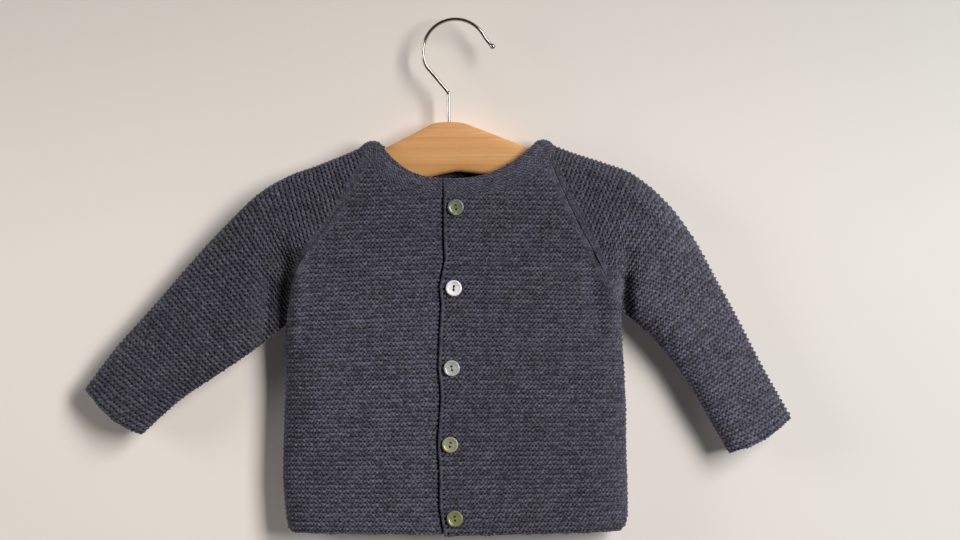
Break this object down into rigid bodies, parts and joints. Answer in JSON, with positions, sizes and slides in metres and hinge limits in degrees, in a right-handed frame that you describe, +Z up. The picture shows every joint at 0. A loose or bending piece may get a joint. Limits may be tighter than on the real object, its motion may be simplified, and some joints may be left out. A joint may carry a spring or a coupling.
{
  "type": "baby cardigan on a hanger",
  "caption": "Garter-stitch baby cardigan with raglan sleeves and a buttoned front, on a small wooden hanger that hangs by its wire hook.",
  "frame": {"origin": "inner top of the hanger's hook, where a nail or rail carries it", "axes": "+Z up as it hangs, +X to the wearer's left (the viewer's right), -Y out of the front of the garment"},
  "size_m": [0.4947, 0.0277, 0.3619],
  "materials": {
    "garter_knit": "matt hand-knitted garter stitch in a marled charcoal-violet wool yarn",
    "button_1": "polished shell, green-grey",
    "button_2": "polished shell, white",
    "button_3": "polished shell, silver-grey",
    "button_4": "polished shell, yellow-green",
    "button_5": "polished shell, olive",
    "beech_wood": "clear-varnished beech with a fine lengthwise grain",
    "chromed_wire": "bright chromed steel wire"
  },
  "bodies": {
    "root": {"front_right": "garter_knit", "sleeve_right": "garter_knit", "front_left": "garter_knit", "sleeve_left": "garter_knit", "back": "garter_knit", "neckband": "garter_knit", "button_1": "button_1", "button_2": "button_2", "button_3": "button_3", "button_4": "button_4", "button_5": "button_5", "hanger_bar": "beech_wood", "hanger_hook": "chromed_wire"}
  },
  "joints": []
}
